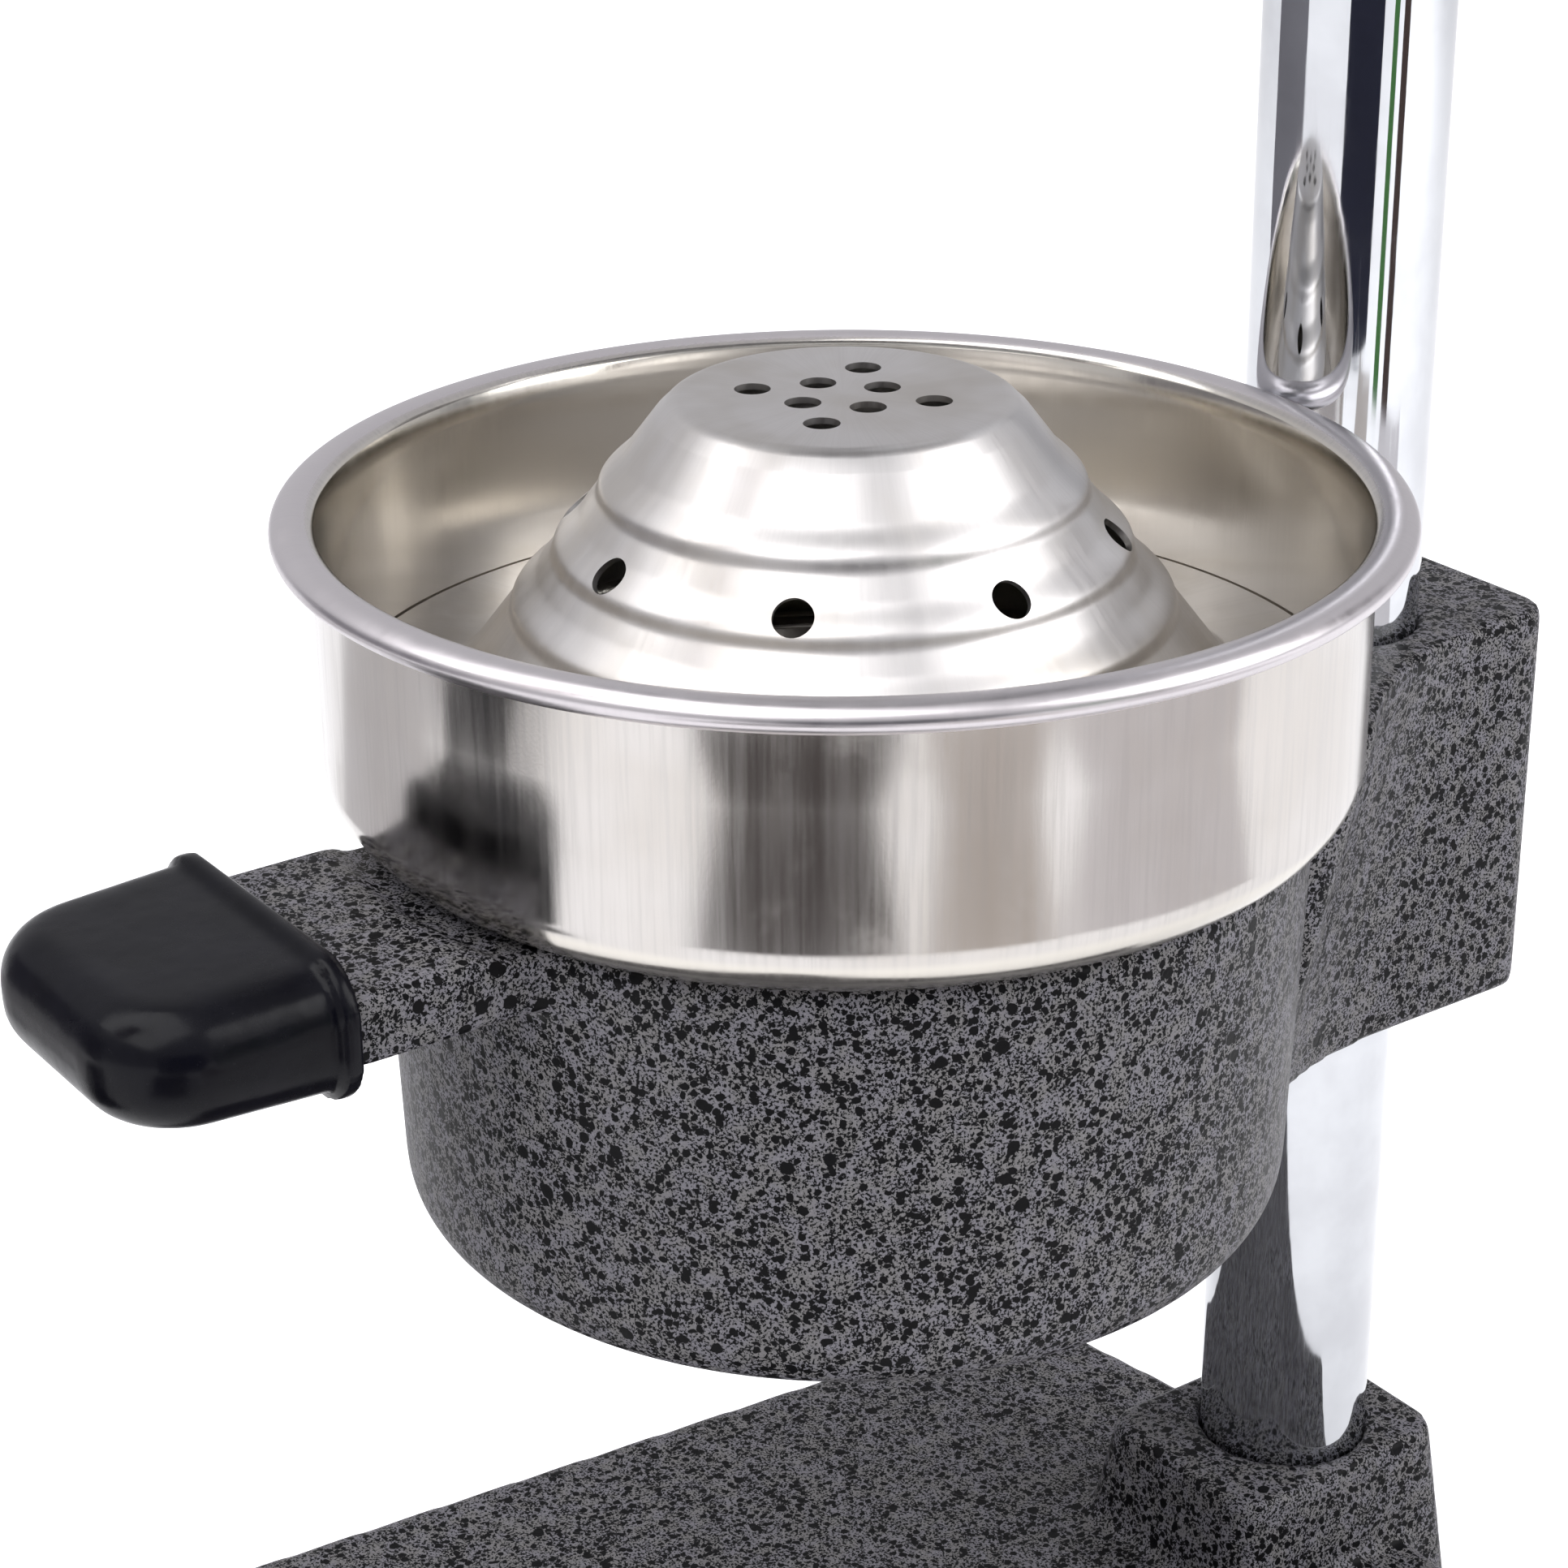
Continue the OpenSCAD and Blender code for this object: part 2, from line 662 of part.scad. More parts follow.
module lever_hub() {
    color([0.42, 0.42, 0.43]) difference() {
        union() {
            bar_x(hub_x[0], hub_x[1], 15, pin_y, pin_z);
            on_lever() translate([0, 0, 10]) cylinder(h = 24, r = 9.5);
        }
        bar_x(hub_x[0] - 1, shaft_x[1] + 0.1, shaft_r + 0.02, pin_y, pin_z);
        on_lever() translate([0, 0, rod_start]) cylinder(h = 40, r = lever_r + 0.02);
        on_lever() translate([0, 0, -20]) cylinder(h = 16, r = 3 + fit);
    }
}

module hub_screw() {
    color([0.15, 0.15, 0.16]) on_lever() difference() {
        translate([0, 0, -14.5]) cylinder(h = 14.5 - shaft_r - 0.1, r = 3);
        translate([0, 0, -15]) hex_socket(3, 3.5);
    }
}

module lever_rod() {
    color([0.86, 0.87, 0.9]) on_lever() translate([0, 0, rod_start + 0.1])
        cylinder(h = lever_len - rod_start, r = lever_r);
}

module lever_grip() {
    start = lever_len - grip_len + 8;
    color([0.06, 0.06, 0.07]) on_lever() rotate_extrude() polygon(concat(
        [[lever_r + 0.02, start], [14.5, start], [14.5, start + 3], [12, start + 4]],
        [[13.5, start + 40]],
        arc(0, lever_len + 8 - 13, 13, 0, 90),
        [[0, lever_len + 0.4], [lever_r + 0.02, lever_len + 0.4]]));
}

base_plate();
feet();
foot_screws();
base_washer();
base_bolt();
column();
cup_holder();
cup_set_screws();
handle_grip();
bowl();
strainer();
head_casting();
head_cover();
cover_screws();
head_set_screws();
ram_bush_lower();
ram_bush_upper();
brake_pad();
brake_screw();
ram();
ram_cap();
press_bell();
bell_collar();
bell_screw();
pinion();
pinion_key();
pinion_shaft();
shaft_bush_right();
shaft_bush_left();
shaft_ring();
lever_hub();
hub_screw();
lever_rod();
lever_grip();
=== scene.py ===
import json
import math

import bmesh
import bpy
from mathutils import Euler, Matrix, Vector


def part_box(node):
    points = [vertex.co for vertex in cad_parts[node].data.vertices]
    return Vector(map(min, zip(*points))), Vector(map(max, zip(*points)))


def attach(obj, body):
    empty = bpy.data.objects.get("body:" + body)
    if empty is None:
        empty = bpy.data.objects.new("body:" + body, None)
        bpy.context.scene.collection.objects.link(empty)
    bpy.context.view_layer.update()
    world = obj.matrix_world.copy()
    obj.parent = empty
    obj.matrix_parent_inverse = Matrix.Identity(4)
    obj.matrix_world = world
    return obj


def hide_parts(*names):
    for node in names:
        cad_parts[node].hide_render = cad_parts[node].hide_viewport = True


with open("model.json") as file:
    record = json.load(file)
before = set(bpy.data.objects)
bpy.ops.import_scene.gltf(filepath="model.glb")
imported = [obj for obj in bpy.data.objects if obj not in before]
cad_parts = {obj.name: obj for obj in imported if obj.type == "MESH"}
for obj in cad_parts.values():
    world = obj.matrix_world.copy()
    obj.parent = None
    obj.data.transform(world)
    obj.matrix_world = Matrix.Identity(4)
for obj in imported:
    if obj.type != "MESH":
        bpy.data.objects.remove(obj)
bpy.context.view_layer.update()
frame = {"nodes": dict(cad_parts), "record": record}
mm = 0.001
print("frame loaded:", len(frame["nodes"]), "nodes")

bowlLow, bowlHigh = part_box("bowl")
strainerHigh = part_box("strainer")[1]
bellLow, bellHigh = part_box("press_bell")


# small helpers for node materials
def newMaterial(name, color, metallic=0.0, roughness=0.5):
    mat = bpy.data.materials.new(name)
    mat.use_nodes = True
    shader = mat.node_tree.nodes["Principled BSDF"]
    shader.inputs["Base Color"].default_value = (*color, 1)
    shader.inputs["Metallic"].default_value = metallic
    shader.inputs["Roughness"].default_value = roughness
    return mat, shader


def node(mat, kind, inputs=None, **settings):
    made = mat.node_tree.nodes.new("ShaderNode" + kind)
    for key, value in settings.items():
        setattr(made, key, value)
    for key, value in (inputs or {}).items():
        socket = made.inputs[key]
        if isinstance(value, bpy.types.NodeSocket):
            mat.node_tree.links.new(value, socket)
        else:
            socket.default_value = value
    return made


def plug(mat, output, socket):
    mat.node_tree.links.new(output, socket)


def vectorMath(mat, operation, a, b=None, scale=None):
    inputs = {0: a}
    if b is not None:
        inputs[1] = b
    if scale is not None:
        inputs["Scale"] = scale
    return node(mat, "VectorMath", inputs, operation=operation).outputs[0]


def coordsMm(mat):  # object coordinates, in millimetres
    return vectorMath(mat, "SCALE", node(mat, "TexCoord").outputs["Object"], scale=1000.0)


def noise(mat, vector, scale, detail=2.0, rough=0.5):
    inputs = {"Vector": vector, "Scale": scale, "Detail": detail, "Roughness": rough}
    return node(mat, "TexNoise", inputs).outputs["Fac"]


def ramp(mat, value, low, high, fromValue=0.0, toValue=1.0):  # smooth step from low to high
    inputs = {"Value": value, "From Min": low, "From Max": high, "To Min": fromValue, "To Max": toValue}
    return node(mat, "MapRange", inputs, interpolation_type="SMOOTHSTEP").outputs["Result"]


def calc(mat, operation, a, b=0.0):
    return node(mat, "Math", {0: a, 1: b}, operation=operation).outputs[0]


def mixColor(mat, factor, a, b):
    mix = node(mat, "Mix", data_type="RGBA")
    for key, value in (("Factor", factor), ("A", a), ("B", b)):
        socket = [s for s in mix.inputs if s.name == key and (s.type == "RGBA" or key == "Factor")][0]
        if isinstance(value, bpy.types.NodeSocket):
            plug(mat, value, socket)
        else:
            socket.default_value = (*value, 1) if key != "Factor" else value
    return [s for s in mix.outputs if s.type == "RGBA"][0]


def bump(mat, shader, height, strength, distance, under=None):
    made = node(mat, "Bump", {"Height": height, "Strength": strength, "Distance": distance})
    if under is not None:
        plug(mat, under, made.inputs["Normal"])
    plug(mat, made.outputs["Normal"], shader.inputs["Normal"])
    return made.outputs["Normal"]


def aroundAxis(mat, coords, radius, zShare):  # runs round the bowl's axis, so that streaks stand upright
    ring = vectorMath(mat, "NORMALIZE", vectorMath(mat, "MULTIPLY", coords, (1, 1, 0)))
    ring = vectorMath(mat, "SCALE", ring, scale=radius)
    return vectorMath(mat, "ADD", ring, vectorMath(mat, "MULTIPLY", coords, (0, 0, zShare)))


# hammertone paint of the castings: grey flakes on black enamel
hammer = {
    "flake": (0.158, 0.153, 0.155),
    "flakeCool": (0.164, 0.159, 0.178),
    "enamel": (0.0030, 0.0030, 0.0036),
    "glint": (0.26, 0.25, 0.27),
    "glintShare": 0.55,
    "grainScale": 2.7,
    "grainEdge": (0.472, 0.498),
    "driftScale": 0.30,
    "driftShare": 0.16,  # how much the flakes crowd and thin out
    "spotScale": 0.92,
    "spotSize": (0.08, 0.56),
    "pitScale": 0.30,
    "pitSize": (0.0, 0.29),
    "warpScale": 0.9,
    "warpBy": 0.7,
    "dentScale": 0.55,
    "dentDepth": 0.0005,
    "flakeDepth": 0.00014,
    "roughFlake": 0.46,
    "roughEnamel": 0.38,
    "shine": 0.08,
}


def hammertonePaint():
    mat, shader = newMaterial("hammertone_paint", hammer["flake"])
    coords = coordsMm(mat)
    warp = node(mat, "TexNoise", {"Vector": coords, "Scale": hammer["warpScale"], "Detail": 2.0})
    shifted = vectorMath(mat, "SCALE", warp.outputs["Color"], scale=hammer["warpBy"])
    warped = vectorMath(mat, "ADD", coords, shifted)
    grain = noise(mat, coords, hammer["grainScale"], 3.0, 0.66)
    drift = calc(mat, "SUBTRACT", noise(mat, coords, hammer["driftScale"], 2.0), 0.5)
    grain = calc(mat, "ADD", grain, calc(mat, "MULTIPLY", drift, hammer["driftShare"]))
    flake = ramp(mat, grain, *hammer["grainEdge"])
    spots = node(mat, "TexVoronoi", {"Vector": warped, "Scale": hammer["spotScale"]})
    spotSize = node(mat, "SeparateColor", {0: spots.outputs["Color"]})
    spotEdge = ramp(mat, spotSize.outputs[0], 0.1, 1.0, *hammer["spotSize"])
    spotMask = ramp(mat, calc(mat, "SUBTRACT", spots.outputs["Distance"], spotEdge), -0.03, 0.05)
    pits = node(mat, "TexVoronoi", {"Vector": warped, "Scale": hammer["pitScale"]})
    pitSize = node(mat, "SeparateColor", {0: pits.outputs["Color"]})
    pitEdge = ramp(mat, pitSize.outputs[0], 0.35, 1.0, *hammer["pitSize"])
    pitMask = ramp(mat, calc(mat, "SUBTRACT", pits.outputs["Distance"], pitEdge), -0.02, 0.02)
    mask = calc(mat, "MULTIPLY", calc(mat, "MULTIPLY", flake, spotMask), pitMask)
    tint = noise(mat, coords, 0.35, 1.0)
    flakeColor = mixColor(mat, ramp(mat, tint, 0.35, 0.65), hammer["flake"], hammer["flakeCool"])
    glint = ramp(mat, noise(mat, coords, 4.6, 1.0), 0.60, 0.74, 0.0, hammer["glintShare"])
    flakeColor = mixColor(mat, glint, flakeColor, hammer["glint"])
    plug(mat, mixColor(mat, mask, hammer["enamel"], flakeColor), shader.inputs["Base Color"])
    low, high = hammer["roughEnamel"], hammer["roughFlake"]
    rough = node(mat, "MapRange", {"Value": mask, "To Min": low, "To Max": high})
    plug(mat, rough.outputs["Result"], shader.inputs["Roughness"])
    dents = bump(mat, shader, noise(mat, coords, hammer["dentScale"], 2.0), 0.16, hammer["dentDepth"])
    height = calc(mat, "ADD", calc(mat, "MULTIPLY", mask, 0.35), pitMask)
    bump(mat, shader, height, 0.3, hammer["flakeDepth"], dents)
    shader.inputs["Specular IOR Level"].default_value = hammer["shine"]
    return mat


# satin steel of the bowl and the strainer
satin = {
    "bowl": {"color": (0.60, 0.575, 0.555), "radius": 65.0, "zShare": 0.03, "rough": (0.14, 0.21),
             "streakBump": 0.14, "streakShade": 0.6, "insideR": 64.8},
    "strainer": {"color": (0.66, 0.64, 0.635), "radius": 40.0, "zShare": 0.10, "rough": (0.33, 0.42),
                 "streakBump": 0.03, "streakShade": 0.2, "insideR": -1.0},  # none of it gets the painted reflection tone of the bowl's inside
    "warm": (0.56, 0.53, 0.50),
    # painted reflection: a lighter olive tone standing in for what the bowl's inner wall reflects
    "insideReflectTint": (0.70, 0.665, 0.60),
    "insideReflectShare": 0.8,
    # painted reflection: a paler lilac tone standing in for the bright studio that the rolled rim reflects
    "rimReflectTint": (0.66, 0.625, 0.655),
    "rimReflectShare": 0.8,
    "rollEdge": (65.15, 65.8),  # radius where the rolled rim begins; past it the steel is rougher and gets the painted reflection tint
    "rollRough": 0.14,
    "dull": 0.86,
    "streakScale": 1.5,
    "wideScale": 0.35,
    "cloudScale": 0.045,
    "smearScale": 0.09,
    "smearRough": 0.05,
    "grainScale": 2.6,
    "bumpDepth": 0.00002,
}


def satinSteel(name, look):
    color, insideR = look["color"], look["insideR"]
    mat, shader = newMaterial(name, color, 1.0)
    coords = coordsMm(mat)
    around = aroundAxis(mat, coords, look["radius"], look["zShare"])
    streak = noise(mat, around, satin["streakScale"], 3.0, 0.6)
    wide = noise(mat, around, satin["wideScale"], 2.0, 0.5)
    cloud = noise(mat, coords, satin["cloudScale"], 3.0, 0.55)
    toned = mixColor(mat, ramp(mat, cloud, 0.38, 0.66), color, satin["warm"])
    dulled = tuple(c * satin["dull"] for c in color)
    toned = mixColor(mat, ramp(mat, streak, 0.42, 0.66, 0.0, look["streakShade"]), toned, dulled)
    flat = vectorMath(mat, "MULTIPLY", coords, (1, 1, 0))
    reach = node(mat, "VectorMath", {0: flat}, operation="LENGTH").outputs["Value"]
    # painted reflection: nearer the axis than insideR the steel is mixed towards the lighter olive tone of
    # what the inner wall reflects
    inside = ramp(mat, reach, insideR - 0.2, insideR + 0.2, satin["insideReflectShare"], 0.0)
    toned = mixColor(mat, inside, toned, satin["insideReflectTint"])
    # painted reflection: past rollEdge the steel is mixed towards the paler lilac tone of the bright studio
    # that the rim reflects
    roll = ramp(mat, reach, *satin["rollEdge"])
    toned = mixColor(mat, calc(mat, "MULTIPLY", roll, satin["rimReflectShare"]), toned, satin["rimReflectTint"])
    plug(mat, toned, shader.inputs["Base Color"])
    value = calc(mat, "ADD", calc(mat, "MULTIPLY", streak, 0.5), calc(mat, "MULTIPLY", wide, 0.5))
    rough = ramp(mat, value, 0.3, 0.7, *look["rough"])
    smear = noise(mat, coords, satin["smearScale"], 4.0, 0.6)
    smear = ramp(mat, smear, 0.55, 0.75, 0.0, satin["smearRough"])
    rough = calc(mat, "ADD", rough, calc(mat, "MULTIPLY", roll, satin["rollRough"]))
    plug(mat, calc(mat, "ADD", rough, smear), shader.inputs["Roughness"])
    streaks = bump(mat, shader, streak, look["streakBump"], satin["bumpDepth"])
    bump(mat, shader, noise(mat, coords, satin["grainScale"], 2.0), 0.10, satin["bumpDepth"], streaks)
    return mat


# chrome, rubber and the plain metals
chrome = {"color": (0.66, 0.675, 0.70), "dull": (0.58, 0.59, 0.615), "rough": (0.035, 0.09),
          "fineRough": 0.05, "waveDepth": 0.0003}
rubber = {"dark": (0.0012, 0.0012, 0.0030), "light": (0.0026, 0.0026, 0.0052), "dust": (0.05, 0.05, 0.06),
          "dustShare": 0.10, "rough": (0.20, 0.30), "shine": 0.15, "waveDepth": 0.0006, "grainDepth": 0.00005}


def chromePlate():
    mat, shader = newMaterial("chrome_plate", chrome["color"], 1.0, 0.05)
    coords = coordsMm(mat)
    haze = noise(mat, coords, 0.06, 4.0, 0.6)
    tall = node(mat, "Mapping", {0: coords, "Scale": (3.0, 3.0, 0.12)}).outputs[0]  # fine marks along the bar
    fine = ramp(mat, noise(mat, tall, 1.0, 2.0), 0.55, 0.8, 0.0, chrome["fineRough"])
    rough = calc(mat, "ADD", ramp(mat, haze, 0.4, 0.75, *chrome["rough"]), fine)
    plug(mat, rough, shader.inputs["Roughness"])
    toned = mixColor(mat, ramp(mat, haze, 0.35, 0.7), chrome["color"], chrome["dull"])
    plug(mat, toned, shader.inputs["Base Color"])
    bump(mat, shader, noise(mat, coords, 0.12, 2.0), 0.05, chrome["waveDepth"])
    return mat


def blackRubber():
    mat, shader = newMaterial("black_rubber", rubber["dark"])
    coords = coordsMm(mat)
    dust = ramp(mat, noise(mat, coords, 1.6, 2.0), 0.70, 0.78)
    base = ramp(mat, noise(mat, coords, 0.1, 3.0), 0.35, 0.7)
    toned = mixColor(mat, base, rubber["dark"], rubber["light"])
    toned = mixColor(mat, calc(mat, "MULTIPLY", dust, rubber["dustShare"]), toned, rubber["dust"])
    plug(mat, toned, shader.inputs["Base Color"])
    rough = ramp(mat, noise(mat, coords, 0.22, 4.0, 0.65), 0.3, 0.7, *rubber["rough"])
    plug(mat, rough, shader.inputs["Roughness"])
    waves = bump(mat, shader, noise(mat, coords, 0.14, 2.0), 0.22, rubber["waveDepth"])
    bump(mat, shader, noise(mat, coords, 2.6, 2.0), 0.08, rubber["grainDepth"], waves)
    shader.inputs["Specular IOR Level"].default_value = rubber["shine"]
    return mat


def turnedMetal(name, color, metallic, low, high, grainScale):
    mat, shader = newMaterial(name, color, metallic)
    coords = coordsMm(mat)
    lay = node(mat, "Mapping", {0: coords, "Scale": (1.0, 1.0, 4.0)}).outputs[0]
    grain = noise(mat, lay, grainScale, 3.0)
    plug(mat, ramp(mat, grain, 0.3, 0.7, low, high), shader.inputs["Roughness"])
    shade = tuple(c * 0.72 for c in color)
    toned = mixColor(mat, ramp(mat, noise(mat, coords, 0.25, 3.0), 0.35, 0.7), color, shade)
    plug(mat, toned, shader.inputs["Base Color"])
    bump(mat, shader, grain, 0.15, 0.00008)
    return mat


finishes = {
    "hammertone": hammertonePaint(),
    "rubber": blackRubber(),
    "chrome": chromePlate(),
    "zinc": turnedMetal("zinc_plate", (0.66, 0.67, 0.70), 1.0, 0.25, 0.42, 1.2),
    "cast_aluminium": turnedMetal("cast_aluminium", (0.70, 0.71, 0.72), 1.0, 0.16, 0.34, 0.8),
    "black_steel": turnedMetal("black_steel", (0.022, 0.022, 0.025), 0.6, 0.28, 0.45, 1.5),
    "bronze": turnedMetal("sintered_bronze", (0.52, 0.36, 0.17), 1.0, 0.3, 0.5, 1.8),
    "nylon": turnedMetal("white_nylon", (0.72, 0.70, 0.64), 0.0, 0.4, 0.55, 0.8),
    "machined_steel": turnedMetal("machined_steel", (0.48, 0.48, 0.50), 1.0, 0.2, 0.38, 1.6),
    "satin_steel": satinSteel("bowl_steel", satin["bowl"]),
    "strainer_steel": satinSteel("strainer_steel", satin["strainer"]),
}
print("finishes made:", len(finishes))


# helpers for meshes
def makeObject(name, mesh):
    made = bpy.data.objects.new(name, mesh)
    bpy.context.scene.collection.objects.link(made)
    return made


def applyModifiers(obj):
    bpy.context.view_layer.update()
    graph = bpy.context.evaluated_depsgraph_get()
    mesh = bpy.data.meshes.new_from_object(obj.evaluated_get(graph))
    obj.modifiers.clear()
    old = obj.data
    obj.data = mesh
    bpy.data.meshes.remove(old)


def shadeSmooth(mesh, angle=None):
    for face in mesh.polygons:
        face.use_smooth = True
    if angle is not None:
        mesh.set_sharp_from_angle(angle=math.radians(angle))


def dress(obj, material, body, slotName, *replaced):
    obj.data.materials.clear()
    obj.data.materials.append(material)
    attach(obj, body)
    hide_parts(*replaced)


def arcPoints(cr, cz, r, start, end, count):  # points of an arc in the (radius, height) plane
    angles = [math.radians(start + (end - start) / count * i) for i in range(count + 1)]
    return [(cr + r * math.cos(a), cz + r * math.sin(a)) for a in angles]


def turnProfile(name, points, steps, closed=True, sharp=40):  # points are (radius, height) in millimetres
    bm = bmesh.new()
    verts = [bm.verts.new((r * mm, 0, z * mm)) for r, z in points]
    edges = [bm.edges.new(pair) for pair in zip(verts, verts[1:])]
    if closed:
        edges.append(bm.edges.new((verts[-1], verts[0])))
    bmesh.ops.spin(bm, geom=verts + edges, cent=(0, 0, 0), axis=(0, 0, 1), angle=math.tau, steps=steps,
                   use_merge=True)
    bmesh.ops.remove_doubles(bm, verts=bm.verts, dist=1e-6)
    bmesh.ops.recalc_face_normals(bm, faces=bm.faces)
    mesh = bpy.data.meshes.new(name)
    bm.to_mesh(mesh)
    bm.free()
    shadeSmooth(mesh, sharp)
    return makeObject(name, mesh)


def castCopy(name, source, voxel, rounds):  # the CAD solid with its edges softened as a casting's are
    mesh = frame["nodes"][source].data.copy()
    bm = bmesh.new()
    bm.from_mesh(mesh)
    bmesh.ops.remove_doubles(bm, verts=bm.verts, dist=2e-6)
    bm.to_mesh(mesh)
    bm.free()
    made = makeObject(name, mesh)
    remesh = made.modifiers.new("cast", "REMESH")
    remesh.mode = "VOXEL"
    remesh.voxel_size = voxel * mm
    soften = made.modifiers.new("soften", "SMOOTH")
    soften.factor = 0.5
    soften.iterations = rounds
    applyModifiers(made)
    shadeSmooth(made.data)
    return made


sharpAngle = 32  # degrees; steeper edges of the CAD nodes and the bell stay crisp


def smoothCad(name):  # the CAD mesh stays; only its shading is smoothed
    obj = frame["nodes"][name]
    shadeSmooth(obj.data)
    weld = obj.modifiers.new("weld", "WELD")
    weld.merge_threshold = 2e-6
    split = obj.modifiers.new("split", "EDGE_SPLIT")
    split.split_angle = math.radians(sharpAngle)


# bowl: lengths in millimetres, heights from the table
bowl = {"wall": 65.1, "sheet": 0.8, "corner": 7.6, "rollHalfHeight": 1.9, "rollHalfWidth": 2.8,
        "rollPower": 0.98, "rollSteps": 40, "depth": 36.8, "ledge": 25.4, "neck": 53.3, "spout": 12.0,
        "steps": 288}
rimR = bowlHigh.x / mm
rimZ = bowlHigh.z / mm - bowl["rollHalfHeight"]
cupTop = rimZ - bowl["depth"]  # height of the cup's rim, where the bowl stands


def signedPower(value, power):
    return math.copysign(abs(value) ** power, value)


def makeBowl():
    wall, sheet, corner, neck, spout = (bowl[k] for k in ("wall", "sheet", "corner", "neck", "spout"))
    halfW, halfH, power = bowl["rollHalfWidth"], bowl["rollHalfHeight"], bowl["rollPower"]
    foot, spoutTop, spoutEnd = cupTop + 0.1, cupTop - 24, bowlLow.z / mm
    ledge = rimZ - bowl["ledge"]
    outside = [(spout, spoutEnd), (spout, spoutTop - 1.5), (spout + 1.2, spoutTop + 0.4)]
    outside += [(neck - 2, cupTop - 6.6), (neck, cupTop - 5), (neck, foot - 0.8), (neck + 0.8, foot)]
    outside += arcPoints(wall - corner, foot + corner, corner, -90, 0, 14)
    outside += [(wall, rimZ - 12), (wall, rimZ - 3.2), (wall + 0.25, rimZ - 1.9)]
    roll = []
    for i in range(bowl["rollSteps"] + 1):  # from the rim's underside, over its outer edge, to the inner wall
        a = math.radians(-118 + 280 * i / bowl["rollSteps"])
        r = rimR - halfW + halfW * signedPower(math.cos(a), power)
        roll.append((r, rimZ + halfH * signedPower(math.sin(a), power)))
    inner = wall - sheet
    inside = [(inner, rimZ - 2.6), (inner, rimZ - 14), (inner, cupTop + 12.4)]
    inside += [(inner, ledge + 0.6), (inner - 0.55, ledge + 0.05), (inner - 0.9, ledge - 0.7)]
    inside += [(inner - 0.55, ledge - 1.5), (inner, ledge - 2)]
    inside += arcPoints(wall - corner, foot + corner, corner - sheet, 0, -90, 14)[1:]
    inside += [(neck, foot + sheet), (neck - sheet, foot), (neck - sheet, cupTop - 4.6)]
    inside += [(neck - 2.2, cupTop - 6), (spout + 0.6, spoutTop + 1.2)]
    inside += [(spout - sheet, spoutTop - 0.6), (spout - sheet, spoutEnd)]
    inside = [p for p in inside if p[1] < rimZ]
    made = turnProfile("bowl_shell", outside + roll + inside, bowl["steps"], sharp=50)
    dress(made, finishes["satin_steel"], "bowl", "satin_steel", "bowl")


makeBowl()

# strainer: depths run down from its flat top
strainer = {"disc": 21.3, "run": 0.76, "top": strainerHigh.z / mm, "brim": rimZ - 24.5, "sheet": 0.8,
            "steps": (10.4, 17.9, 25.0), "stepOut": 0.75, "stepRise": 3.0, "stepDrop": 2.2, "layer": 0.22,
            "sideHoles": 8, "sideDrop": 16.2, "sideHole": 2.5, "sideTurn": -1, "topHole": 2.25,
            "topRings": ((-4, 5.7), (41, 11.3)), "topHolesPerRing": 4, "segments": 288}


def ease(t):
    return t * t * (3 - 2 * t)


def stepOut(depth):  # how far the sheet stands out from the plain cone at this depth
    out, rise, drop = 0.0, strainer["stepRise"], strainer["stepDrop"]
    for at in strainer["steps"]:
        past = depth - (at - 0.4)
        if -rise < past < 0:
            out += strainer["stepOut"] * ease((past + rise) / rise)
        elif 0 <= past < drop:
            out += strainer["stepOut"] * (1 - ease(past / drop))
    return out


def makeStrainer():
    disc, run, top, brim, sheet = (strainer[k] for k in ("disc", "run", "top", "brim", "sheet"))
    brimR = strainerHigh.x / mm
    footR = disc + run * (top - brim)
    face = [(0, top), (6, top), (12, top), (17, top)]
    face += arcPoints(disc - 1.75, top - 2.9, 2.9, 90, 37, 8)
    depth = 2.2
    while depth < top - brim - 1.6:
        face.append((disc + run * depth + stepOut(depth), top - depth))
        depth += strainer["layer"]
    face += arcPoints(footR + 1.35, brim + 1.9, 1.9, 217, 270, 6)
    face += [(brimR - 2, brim), (brimR, brim)]
    back = []
    for i in range(len(face) - 1, -1, -1):
        r, z = face[i]
        onCone = 4 <= i < len(face) - 8  # the sheet's thickness runs square to the slope there
        back.append((r - sheet * 0.8, z - sheet * 0.6) if onCone else (r, z - sheet))
    made = turnProfile("strainer_cone", face + back, strainer["segments"], closed=False, sharp=38)
    cutters = bmesh.new()

    def drill(matrix, radius):
        bmesh.ops.create_cone(cutters, cap_ends=True, segments=40, radius1=radius * mm, radius2=radius * mm,
                              depth=9 * mm, matrix=matrix)

    for i in range(strainer["topHolesPerRing"]):
        for turn, r in strainer["topRings"]:
            spin = Matrix.Rotation(math.radians(90 * i + turn), 4, "Z")
            drill(spin @ Matrix.Translation((r * mm, 0, top * mm)), strainer["topHole"])
    tilt = math.pi / 2 - math.atan(run)
    drop = strainer["sideDrop"]
    for i in range(strainer["sideHoles"]):
        spin = Matrix.Rotation(math.radians(45 * i + strainer["sideTurn"]), 4, "Z")
        at = Matrix.Translation(((disc + run * drop) * mm, 0, (top - drop) * mm))
        drill(spin @ at @ Matrix.Rotation(tilt, 4, "Y"), strainer["sideHole"])
    mesh = bpy.data.meshes.new("cutters")
    cutters.to_mesh(mesh)
    cutters.free()
    tool = makeObject("cutters", mesh)
    cut = made.modifiers.new("holes", "BOOLEAN")
    cut.operation = "DIFFERENCE"
    cut.solver = "EXACT"
    cut.object = tool
    applyModifiers(made)
    bpy.data.objects.remove(tool)
    shadeSmooth(made.data, 38)
    dress(made, finishes["strainer_steel"], "strainer", "satin_steel", "strainer")


makeStrainer()
print("bowl and strainer made")

